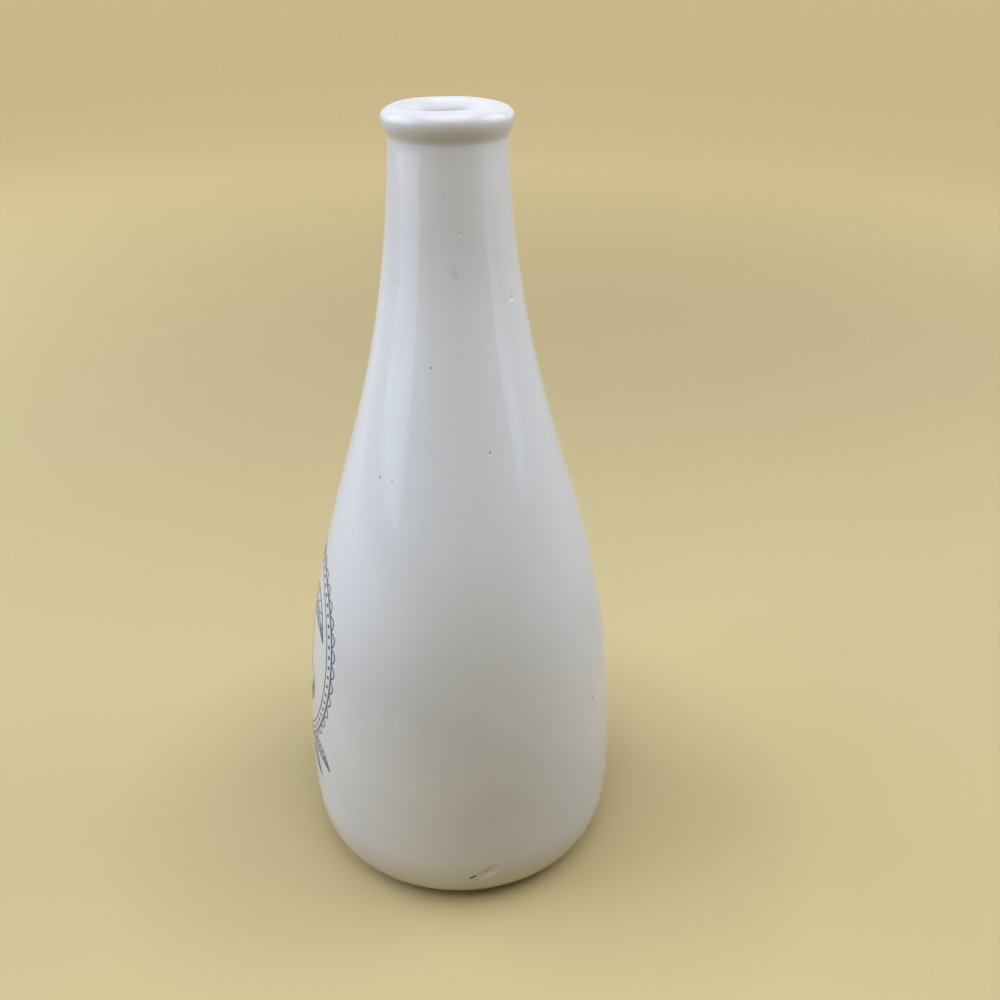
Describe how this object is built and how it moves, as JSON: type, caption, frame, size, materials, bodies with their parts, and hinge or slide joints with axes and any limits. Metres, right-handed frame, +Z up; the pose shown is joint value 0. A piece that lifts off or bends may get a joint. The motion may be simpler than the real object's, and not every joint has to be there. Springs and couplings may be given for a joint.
{
  "type": "liqueur bottle",
  "caption": "Glazed porcelain liqueur bottle with a full body, a long tapering neck and a beaded lip round an open mouth.",
  "frame": {"origin": "centre of the foot ring, on the surface that the bottle stands on", "axes": "+Z up through the mouth; the printed side faces -X"},
  "size_m": [0.0888, 0.0888, 0.21],
  "materials": {
    "bare_porcelain": "unglazed, matt",
    "outer_white_glaze": "gloss",
    "liner_white_glaze": "gloss",
    "base_white_glaze": "gloss"
  },
  "bodies": {
    "root": {"porcelain_body": "bare_porcelain", "outer_glaze": "outer_white_glaze", "liner_glaze": "liner_white_glaze", "base_glaze": "base_white_glaze"}
  },
  "joints": []
}
